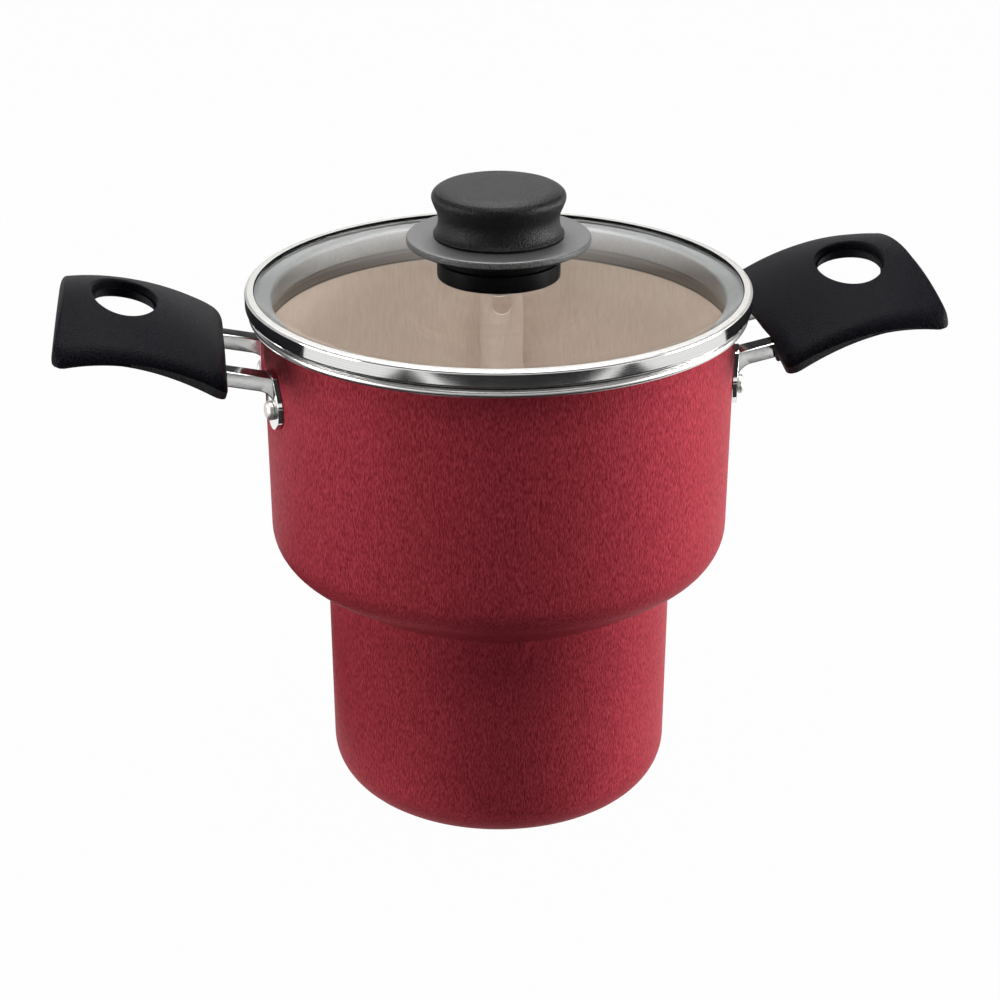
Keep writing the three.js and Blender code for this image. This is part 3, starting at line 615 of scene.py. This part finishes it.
def makeGlass():
    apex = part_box("lid_glass")[1][2] / mm + domeDrop(glass["hole"])
    radii = [glass["hole"] + (glass["radius"] - glass["hole"]) * k / glass["steps"]
             for k in range(glass["steps"] + 1)]
    over = [(r, apex - domeDrop(r)) for r in radii]
    under = [(r, z - glass["thickness"]) for r, z in over]
    corners = [*under[:-1], (*under[-1], glass["edge"]), (*over[-1], glass["edge"]), *over[-2::-1]]
    section = easeCorners(corners, closed=True, degrees=20)
    disc = turnSection("lidGlass", section + section[:1], roundSides)
    finishPiece(disc, "lid", "lid_glass", "glass", clearGlass)
    disc.visible_shadow = False


def makeCollar():
    low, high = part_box("knob_collar")
    bottom, top, radius = low[2] / mm, high[2] / mm, high[0] / mm
    bore, (lowEase, topEase) = collar["bore"], collar["edge"]
    section = easeCorners([(bore, bottom), (radius, bottom, lowEase), (radius, top, topEase), (bore, top)],
                          closed=True)
    piece = turnSection("knobCollar", section + section[:1], knobSides)
    finishPiece(piece, "lid", "knob_collar", "black_resin", collarResinAndShade)


def makeGuard():
    bottom, top = (corner[2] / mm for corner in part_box("knob_guard"))
    stepBottom = bottom + guard["hubHeight"]
    discBottom = stepBottom + guard["stepHeight"]
    hub, step, radius, ease = guard["hub"], guard["step"], guard["radius"], guard["ease"]
    fine, soft, full = guard["eases"]
    section = easeCorners([
        (guard["bore"], bottom), (hub, bottom, fine), (hub, stepBottom, full), (step, stepBottom, soft),
        (step, discBottom, fine), (radius, discBottom, ease), (radius, top, ease),
        (radius - guard["rimFlat"], top), (guard["bore"], top)], closed=True)
    piece = turnSection("knobGuard", section + section[:1], knobSides)
    finishPiece(piece, "lid", "knob_guard", "black_resin", guardTopSheen, collarResinAndShade, guardEdgeSheen)
    # painted sheen: the top and edge get paler copies of the resin than the hub and the underside, standing
    # in for the light they catch
    for face in piece.data.polygons:
        onTop = face.normal.z > guard["topTilt"]
        beyond = math.hypot(face.center.x, face.center.y) > guard["edgeStart"] * mm
        onEdge = beyond and face.normal.z > guard["edgeTilt"]
        face.material_index = 0 if onTop else 2 if onEdge else 1


def makeKnob():
    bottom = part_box("knob")[0][2] / mm
    line = smoothLine(knob["side"], knob["steps"]) + smoothLine(knob["plateau"], knob["steps"])
    pocketRadius, pocketDepth = knob["pocket"]
    section = [(0, bottom + pocketDepth), (pocketRadius, bottom + pocketDepth), (pocketRadius, bottom)]
    section += [(r, bottom + z) for r, z in line]
    piece = turnSection("lidKnob", section, knobSides)
    finishPiece(piece, "lid", "knob", "black_resin", knobLitTopResin, knobSide, degrees=40)
    # only the top catches the light
    # painted light: the top gets a paler, shinier copy of the resin than the sides, which stand in shade
    for face in piece.data.polygons:
        face.material_index = int(face.normal.z < knob["topTilt"])


def makeKnobScrew():
    lowCorner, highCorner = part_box("knob_screw")
    bottom, top, head = lowCorner[2] / mm, highCorner[2] / mm, highCorner[0] / mm
    seat = bottom + knobScrew["headHeight"]
    low, shank = seat - knobScrew["flatHead"], knobScrew["shank"]
    socket, depth = knobScrew["socket"]
    section = easeCorners([
        (0, low + depth), (socket, low + depth), (socket, low, 0.2), (head, low, 0.6), (head, seat, 0.2),
        (shank, seat), (shank, top, 0.5), (0, top)], degrees=20)
    piece = turnSection("knobScrew", section, pinSides)
    finishPiece(piece, "lid", "knob_screw", "steel", brightSteel)


makeLidBand()
makeGlass()
makeCollar()
makeGuard()
makeKnob()
makeKnobScrew()
print("lid made")


# brackets: two bars with feet on the wall, and a web that the handle's screw goes through

bracket = {
    "root": (80, 160.5), "rise": math.radians(12), "length": 25, "width": 7, "thickness": 5.2,
    "spread": 18.5, "armStart": 76.5, "gusset": (78.3, 9.5), "fillet": 6.0, "edge": 0.45,
    "web": 10, "webInset": 0.15,
    # the feet are cut from a bent sheet by an outline pulled outward, given by its start and depth
    "footGap": 0.3, "footGauge": 1.4, "band": (138, 172), "pull": (70, 20),
    "foot": [(14.2, 163.4, 0.8), (21.9, 163.4, 2.0), (26.0, 154.5, 7.0), (25.6, 148.0, 4.0),
             (19.8, 142.4, 4.5), (14.0, 148.2, 4.0), (13.6, 156.0, 6.0)],
}
wallRivet = {
    "height": 150.9, "turn": math.radians(14.15),
    # radius and distance out from the wall
    "section": [(0, -3.9), (3.5, -3.9, 0.5), (3.5, -2.7, 0.2), (2.0, -2.7), (2.0, 1.8), (3.3, 1.75, 0.2),
                (3.25, 3.1, 0.6), (2.3, 3.8, 1.0), (0, 4.0)],
}
armFrame = (Matrix.Translation((bracket["root"][0] * mm, 0, bracket["root"][1] * mm))
            @ Matrix.Rotation(-bracket["rise"], 4, "Y"))


# (u, w) in the arms' own tilted frame to (x, z)
def armPoint(u, w):
    cosine, sine = math.cos(bracket["rise"]), math.sin(bracket["rise"])
    return bracket["root"][0] + u * cosine - w * sine, bracket["root"][1] + u * sine + w * cosine


def makeFoot(side):
    gap, gauge = bracket["footGap"], bracket["footGauge"]
    low, high = bracket["band"]
    inner = [(wallRadiusAt(z) + gap, z) for z in (low, high)]
    outer = [(wallRadiusAt(z) + gap + gauge, z) for z in (high, low)]
    shell = turnSection("footShell", [*inner, *outer, inner[0]], wallSides)
    start, depth = bracket["pull"]
    outline = easeCorners(bracket["foot"], closed=True, degrees=12)
    foot = pullBlock("foot", [(start, side * across, up) for across, up in outline], (depth, 0, 0))
    combine(foot, shell, "INTERSECT")
    return softenEdges(foot, bracket["edge"], segments=3, degrees=50)


def makeArm(side):
    half = bracket["thickness"] / 2
    wall, (under, drop) = bracket["armStart"], bracket["gusset"]
    rise = math.tan(bracket["rise"])
    topAtWall = armPoint(0, half)[1] + (wall - armPoint(0, half)[0]) * rise
    underAtFoot = armPoint(0, -half)[1] + (under - armPoint(0, -half)[0]) * rise
    foot, length = underAtFoot - drop, bracket["length"]
    corners = [(wall, topAtWall), armPoint(length, half), armPoint(length, -half),
               (under, underAtFoot, bracket["fillet"]), (under, foot), (wall, foot)]
    start = side * bracket["spread"] - bracket["width"] / 2
    outline = [(x, start, z) for x, z in easeCorners(corners, closed=True, degrees=9)]
    arm = pullBlock("arm", outline, (0, bracket["width"], 0))
    softenEdges(arm, bracket["edge"], segments=3, degrees=50)
    # the arm ends halfway into the foot's sheet
    low, high = bracket["band"]
    into = bracket["footGap"] + bracket["footGauge"] / 2
    edge = [(wallRadiusAt(z) + into, z) for z in (low, high)]
    return combine(arm, turnSection("armEnd", [(0, low), *edge, (0, high)], wallSides), "DIFFERENCE")


def makeBracket():
    piece = named(makeFoot(-1), "rightBracket")
    for part in (makeFoot(1), makeArm(-1), makeArm(1)):
        combine(piece, part, "UNION")
    # the web's faces lie just inside the arms' faces
    inset, reach = bracket["webInset"], bracket["spread"]
    half, end = bracket["thickness"] / 2 - inset, bracket["length"] - inset
    corners = [armPoint(end - bracket["web"], -half), armPoint(end, -half), armPoint(end, half),
               armPoint(end - bracket["web"], half)]
    web = pullBlock("web", [(x, -reach, z) for x, z in corners], (0, 2 * reach, 0))
    combine(piece, web, "UNION")
    finishPiece(piece, "vessel", "right_bracket", "steel", castBracket, degrees=38)
    keepFlats(piece)
    twin = turnedCopy(piece, "leftBracket", math.pi)
    finishPiece(twin, "vessel", "left_bracket", "steel", castBracket, degrees=38)


def makeRivets():
    section = easeCorners(wallRivet["section"], degrees=12)
    height = wallRivet["height"]
    for sideName, sideTurn in (("right", 0), ("left", math.pi)):
        for endName, end in (("front", -1), ("rear", 1)):
            rivet = turnSection(sideName + endName.title() + "Rivet", section, pinSides)
            spot = (Matrix.Rotation(sideTurn + end * wallRivet["turn"], 4, "Z")
                    @ Matrix.Translation((wallRadiusAt(height) * mm, 0, height * mm))
                    @ Matrix.Rotation(math.pi / 2, 4, "Y"))
            place(rivet, spot)
            finishPiece(rivet, "vessel", sideName + "_" + endName + "_rivet", "aluminium", satinMetal)


makeBracket()
makeRivets()
print("brackets riveted on")


# handles: a crowned wing with an oval finger hole, and a block under it that takes the bracket

wing = {
    "inner": 91.4, "outer": 146.4, "innerHalf": 40, "outerHalf": 41.5, "innerCorner": 4.5, "outerCorner": 3.8,
    "outerHollow": 1.6,  # how far the middle of the outer edge is set in
    "crown": (171.2, 186.2, 190.2), "sag": (3.6, 10.5), "edge": (7.7, 5.5), "edgeTaper": 0.6, "holeEdge": 6.4,
    "holeCentre": 123.4, "holeHalf": (10.4, 18.8),
    # a step in the hole's wall, and the depths of the rings beside it
    "partingStep": 1.0, "partingTop": 3.6, "partingFoot": (3.0, 4.2),
    # rounding at the hole, over the rim in the middle, inner end and outer end, and the bevel under it
    "holeEase": 1.1, "overEase": 3.4, "innerEase": 4.4, "innerReach": 4, "outerEase": 4.2, "leastEdge": 1,
    "bevel": 0.9, "bevelEase": 0.7, "edgeTilt": (-0.6, 0.05),
    "loopPoints": 176, "pivot": (105, 0, 167),
    # how each moulding sits on its bracket: roll and yaw in degrees, then outward and up in mm
    "seat": {"right": (2.0, 0.87, -1.36, -0.25), "left": (1.67, -1.26, 1.41, -0.2)},
}
nose = {"start": 12.0, "end": 28.6, "half": 24.6, "low": (-2.6, 0.0), "top": (3, 10), "edge": 0.8,
        "pocketHalf": 22.8, "pocketEnd": 25.6, "pocketTop": 3.4, "pocketLow": -12}


def between(pair, t):
    return pair[0] + (pair[1] - pair[0]) * t


# 0 at the inner end of the wing and 1 at the outer end
def wingShare(x):
    return (x - wing["inner"]) / (wing["outer"] - wing["inner"])


def wingTop(x, y):
    t = wingShare(x)
    first, middle, last = wing["crown"]
    crown = first * (1 - t) * (1 - 2 * t) + middle * 4 * t * (1 - t) + last * t * (2 * t - 1)
    half = between((wing["innerHalf"], wing["outerHalf"]), t)
    return crown - between(wing["sag"], t) * (abs(y) / half) ** 2


def evenPoints(corners, count):
    ring = [Vector(point) for point in corners]
    ring.append(ring[0])
    lengths = [(b - a).length for a, b in zip(ring, ring[1:])]
    step, points, used, index = sum(lengths) / count, [], 0.0, 0
    for k in range(count):
        target = k * step
        while used + lengths[index] < target:
            used += lengths[index]
            index += 1
        points.append(ring[index].lerp(ring[index + 1], (target - used) / lengths[index]))
    return points


def wingLoops():
    outline = evenPoints(easeCorners([
        (wing["outer"], wing["outerHalf"], wing["outerCorner"]),
        (wing["inner"], wing["innerHalf"], wing["innerCorner"]),
        (wing["inner"], -wing["innerHalf"], wing["innerCorner"]),
        (wing["outer"], -wing["outerHalf"], wing["outerCorner"])], closed=True), wing["loopPoints"])
    for point in outline:
        point.x -= wing["outerHollow"] * wingShare(point.x) * max(0, 1 - (point.y / wing["outerHalf"]) ** 2)
    centre = Vector((wing["holeCentre"], 0))
    halfX, halfY = wing["holeHalf"]
    turns = [math.atan2(p.y / halfY, (p.x - centre.x) / halfX) for p in outline]
    hole = [centre + Vector((halfX * math.cos(a), halfY * math.sin(a))) for a in turns]

    def thicknessAt(point, share):
        edge = between(wing["edge"], min(1, max(0, wingShare(point.x)) / wing["edgeTaper"]))
        return between((wing["holeEdge"], edge), share)

    def rimEase(point):
        atInner = max(0, 1 - (point.x - wing["inner"]) / wing["innerReach"])
        atOuter = max(0, wingShare(point.x)) ** 2
        ease = between((wing["overEase"], wing["innerEase"]), atInner)
        return ease + (wing["outerEase"] - wing["overEase"]) * atOuter

    # share is 0 at the hole and 1 at the rim, inward goes back from there in mm,
    # and depth goes down from the top or up from the underside
    def loop(share, inward, depth, below=False, rounded=False):
        ring = []
        for rimPoint, holePoint in zip(outline, hole):
            span = (rimPoint - holePoint).length
            ease = rimEase(rimPoint) if rounded else 1
            at = share - inward * ease / span
            point = holePoint.lerp(rimPoint, at)
            thick = thicknessAt(point, min(1, max(0, at)))
            top = wingTop(point.x, point.y)
            deep = min(depth * ease, thick - wing["leastEdge"] if rounded else thick / 2)
            ring.append((point.x, point.y, top - thick + deep if below else top - deep))
        return ring

    arcs = [math.radians(angle) for angle in range(0, 91, 18)]
    bends = [(1 - math.sin(a), 1 - math.cos(a)) for a in arcs]
    holeEase, step = wing["holeEase"], wing["partingStep"]
    bevel, soft = wing["bevel"], wing["bevelEase"]
    across = (0.2, 0.35, 0.5, 0.65, 0.8)
    over = [loop(0, 0, wing["partingTop"])]
    over += [loop(0, -holeEase * deep, holeEase * inward) for inward, deep in bends]
    over += [loop(share, 0, 0) for share in across]
    over += [loop(1, *bend, rounded=True) for bend in bends]
    under = [loop(1, bevel + soft * inward, soft * deep, below=True) for inward, deep in bends[::-1]]
    under += [loop(share, 0, 0, below=True) for share in across[::-1]]
    under += [loop(0, -holeEase * deep, holeEase * inward, below=True) for inward, deep in bends[::-1]]
    under += [loop(0, step, depth, below=True) for depth in wing["partingFoot"]]
    return over + under


# one ring extruded again and again, each new ring laid out point by point, the last one back on the first
def skinRings(name, rings):
    deselectAll()
    bpy.ops.mesh.primitive_circle_add(vertices=len(rings[0]), radius=mm)
    piece = named(bpy.context.object, name)
    mesh = piece.data
    for ring in [*rings, rings[0]]:
        for vertex, point in zip([v for v in mesh.vertices if v.select], ring):
            vertex.co = Vector(point) * mm
        bpy.ops.object.mode_set(mode="EDIT")
        bpy.ops.mesh.extrude_edges_move()
        bpy.ops.object.mode_set(mode="OBJECT")
    bpy.ops.object.mode_set(mode="EDIT")
    bpy.ops.mesh.delete(type="VERT")
    closeSkin()
    return piece


def armBlock(name, along, half, lows, highs):
    corners = [(along[0], lows[0]), (along[1], lows[1]), (along[1], highs[1]), (along[0], highs[0])]
    points = [armPoint(u, w) for u, w in corners]
    return pullBlock(name, [(x, -half, z) for x, z in points], (0, 2 * half, 0))


def seatMatrix(roll, yaw, outward, up):
    pivot = Matrix.Translation(Vector(wing["pivot"]) * mm)
    turn = Matrix.Rotation(math.radians(yaw), 4, "Z") @ Matrix.Rotation(math.radians(roll), 4, "X")
    return Matrix.Translation((outward * mm, 0, up * mm)) @ pivot @ turn @ pivot.inverted()


def makeHandles():
    moulding = skinRings("moulding", wingLoops())
    block = armBlock("noseBlock", (nose["start"], nose["end"]), nose["half"], nose["low"], nose["top"])
    softenEdges(block, nose["edge"], segments=3)
    combine(moulding, block, "UNION")
    for side, turn in (("right", 0), ("left", math.pi)):
        piece = turnedCopy(moulding, side + "Handle", 0)
        place(piece, seatMatrix(*wing["seat"][side]))
        # the pocket follows the bracket, not the moulding's seat
        pocket = armBlock("bracketPocket", (0, nose["pocketEnd"]), nose["pocketHalf"],
                          [nose["pocketLow"]] * 2, [nose["pocketTop"]] * 2)
        combine(piece, pocket, "DIFFERENCE")
        place(piece, Matrix.Rotation(turn, 4, "Z"))
        finishPiece(piece, "vessel", side + "_handle", "black_resin", handleResin, handleEdgeReflection, degrees=40)
        # painted reflection: a paler resin on the outward band below the grained top, standing in for the
        # floor reflected in it
        middle = Vector((wing["holeCentre"] * mm * math.cos(turn), 0, 0))
        lowTilt, highTilt = wing["edgeTilt"]
        for face in piece.data.polygons:
            facesOut = face.normal.xy.dot((face.center - middle).xy) > 0
            face.material_index = int(facesOut and lowTilt < face.normal.z < highTilt)
    bpy.data.objects.remove(moulding)


handleScrew = {
    "place": 20,
    "section": [(0, -4.2), (1.7, -4.2), (1.7, -5.4, 0.2), (4.0, -5.4, 0.7), (4.0, -2.9, 0.2), (1.9, -2.9),
                (1.9, 7.2, 0.4), (0, 7.2)],
}


def makeHandleScrews():
    section = easeCorners(handleScrew["section"], degrees=20)
    screw = turnSection("rightHandleScrew", section, pinSides)
    place(screw, armFrame @ Matrix.Translation((handleScrew["place"] * mm, 0, 0)))
    finishPiece(screw, "vessel", "right_handle_screw", "steel", brightSteel)
    twin = turnedCopy(screw, "leftHandleScrew", math.pi)
    finishPiece(twin, "vessel", "left_handle_screw", "steel", brightSteel)


makeHandles()
makeHandleScrews()
print("handles screwed on")


# hidden fittings keep their CAD shape and get a finish

hiddenFinish = {
    "knob_insert": brass, "left_handle_insert": brass, "right_handle_insert": brass,
    "knob_seal": softSeal, "knob_washer": satinMetal,
}
for nodeName, material in hiddenFinish.items():
    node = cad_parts[nodeName]
    node.data.materials.clear()
    node.data.materials.append(material)


# floor, light and camera

studio = {
    "floorSize": 9.0, "floorWhite": 0.16, "floorRoughness": 0.9, "floorShine": 0.1, "floorGlow": 0.985,
    "roomLight": 0.015, "ceilingStart": 0.14, "ceilingEnd": 0.28, "ceilingTone": 0.03,
    "lampAim": (0, 0, 0.1),
    "lamps": [
        # name, azimuth and height angle in degrees, distance, width, height, power
        ("rightLamp", 83, 5, 1.4, 0.8, 0.6, 30),
        ("leftLamp", -86, 5, 1.4, 0.8, 0.6, 15),
        ("topLamp", 0, 80, 1.4, 1.3, 1.3, 25),
        ("backLamp", 180, 57, 1.4, 1.2, 0.75, 12),
    ],
    # dark cards on the floor, seen only by what reflects them: x, y, width, depth
    "cards": [(0, -0.2455, 0.9, 0.359), (0, -0.8575, 0.9, 0.765), (0, 0.74, 0.9, 0.82),
              (-0.24, -0.03, 0.32, 0.34)],
    "cardTone": 0.02, "cardHeight": 0.002,
}
# turn and pitch in degrees, places in metres
view = {"turn": 9, "pitch": 23.8, "away": 0.74135, "height": 0.43134, "near": 0.01,
        "sensor": 36, "lens": 83.1, "shift": 0.0012}


def grey(tone):
    return (tone, tone, tone, 1)


def plainMaterial(name, tone, roughness, shine):
    material = bpy.data.materials.new(name)
    material.use_nodes = True
    entries = material.node_tree.nodes["Principled BSDF"].inputs
    entries["Base Color"].default_value = grey(tone)
    entries["Roughness"].default_value = roughness
    entries["Specular IOR Level"].default_value = shine
    return material


# 1 for rays of the kinds named and 0 for all others
def raysOf(nodes, links, *kinds):
    path = nodes.new("ShaderNodeLightPath")
    outputs = [path.outputs["Is " + kind + " Ray"] for kind in kinds]
    total = outputs[0]
    for output in outputs[1:]:
        add = nodes.new("ShaderNodeMath")
        add.operation, add.use_clamp = "ADD", True
        links.new(total, add.inputs[0])
        links.new(output, add.inputs[1])
        total = add.outputs["Value"]
    return total


def makeFloor():
    deselectAll()
    bpy.ops.mesh.primitive_plane_add(size=studio["floorSize"])
    floor = named(bpy.context.object, "paleFloor")
    material = plainMaterial("palePaper", studio["floorWhite"], studio["floorRoughness"],
                             studio["floorShine"])
    nodes, links = material.node_tree.nodes, material.node_tree.links
    glow = nodes.new("ShaderNodeEmission")
    glow.inputs["Color"].default_value = grey(1)
    share = nodes.new("ShaderNodeMath")
    share.operation = "MULTIPLY"
    share.inputs[1].default_value = studio["floorGlow"]
    links.new(raysOf(nodes, links, "Camera", "Glossy", "Transmission"), share.inputs[0])
    mix = nodes.new("ShaderNodeMixShader")
    links.new(share.outputs["Value"], mix.inputs["Fac"])
    links.new(nodes["Principled BSDF"].outputs["BSDF"], mix.inputs[1])
    links.new(glow.outputs["Emission"], mix.inputs[2])
    links.new(mix.outputs["Shader"], nodes["Material Output"].inputs["Surface"])
    floor.data.materials.append(material)


def makeCards():
    material = plainMaterial("darkCard", studio["cardTone"], roughness=1, shine=0)
    for x, y, wide, deep in studio["cards"]:
        deselectAll()
        bpy.ops.mesh.primitive_plane_add(size=1, location=(x, y, studio["cardHeight"]))
        card = named(bpy.context.object, "darkCard")
        card.scale = (wide, deep, 1)
        applyPlace(card)
        card.data.materials.append(material)
        card.visible_camera = False
        card.visible_diffuse = False
        card.visible_transmission = False
        card.visible_shadow = False


def makeWorld():
    world = bpy.data.worlds.new("studio")
    scene.world = world
    world.use_nodes = True
    nodes, links = world.node_tree.nodes, world.node_tree.links
    background = nodes["Background"]
    direction = nodes.new("ShaderNodeTexCoord")
    split = nodes.new("ShaderNodeSeparateXYZ")
    links.new(direction.outputs["Generated"], split.inputs["Vector"])
    # reflections and the glass find a white horizon and a dark ceiling
    ceiling = nodes.new("ShaderNodeValToRGB")
    stops = ceiling.color_ramp.elements
    stops[0].position, stops[0].color = studio["ceilingStart"], grey(1)
    stops[1].position, stops[1].color = studio["ceilingEnd"], grey(studio["ceilingTone"])
    links.new(split.outputs["Z"], ceiling.inputs["Fac"])
    room = nodes.new("ShaderNodeMixRGB")
    room.inputs["Color1"].default_value = grey(studio["roomLight"])
    links.new(raysOf(nodes, links, "Glossy", "Transmission"), room.inputs["Fac"])
    links.new(ceiling.outputs["Color"], room.inputs["Color2"])
    shown = nodes.new("ShaderNodeMixRGB")
    shown.inputs["Color2"].default_value = grey(1)
    links.new(raysOf(nodes, links, "Camera"), shown.inputs["Fac"])
    links.new(room.outputs["Color"], shown.inputs["Color1"])
    links.new(shown.outputs["Color"], background.inputs["Color"])


def makeLamps():
    aim = Vector(studio["lampAim"])
    for name, azimuth, rise, distance, width, height, power in studio["lamps"]:
        turn, up = math.radians(azimuth), math.radians(rise)
        back = Vector((math.sin(turn) * math.cos(up), -math.cos(turn) * math.cos(up), math.sin(up)))
        deselectAll()
        bpy.ops.object.light_add(type="AREA", location=aim + back * distance)
        lamp = named(bpy.context.object, name)
        lamp.data.shape = "RECTANGLE"
        lamp.data.size, lamp.data.size_y = width, height
        lamp.data.energy = power
        lamp.rotation_euler = back.to_track_quat("Z", "Y").to_euler()


def makeCamera():
    turn, pitch, away = math.radians(view["turn"]), math.radians(view["pitch"]), view["away"]
    deselectAll()
    bpy.ops.object.camera_add(location=(-away * math.sin(turn), -away * math.cos(turn), view["height"]),
                              rotation=(math.pi / 2 - pitch, 0, -turn))
    camera = named(bpy.context.object, "photoCamera")
    camera.data.sensor_width = view["sensor"]
    camera.data.lens = view["lens"]
    camera.data.shift_x = view["shift"]
    camera.data.clip_start = view["near"]
    scene.camera = camera


makeFloor()
makeCards()
makeWorld()
makeLamps()
makeCamera()
scene.view_settings.view_transform = "Standard"
print("studio set")
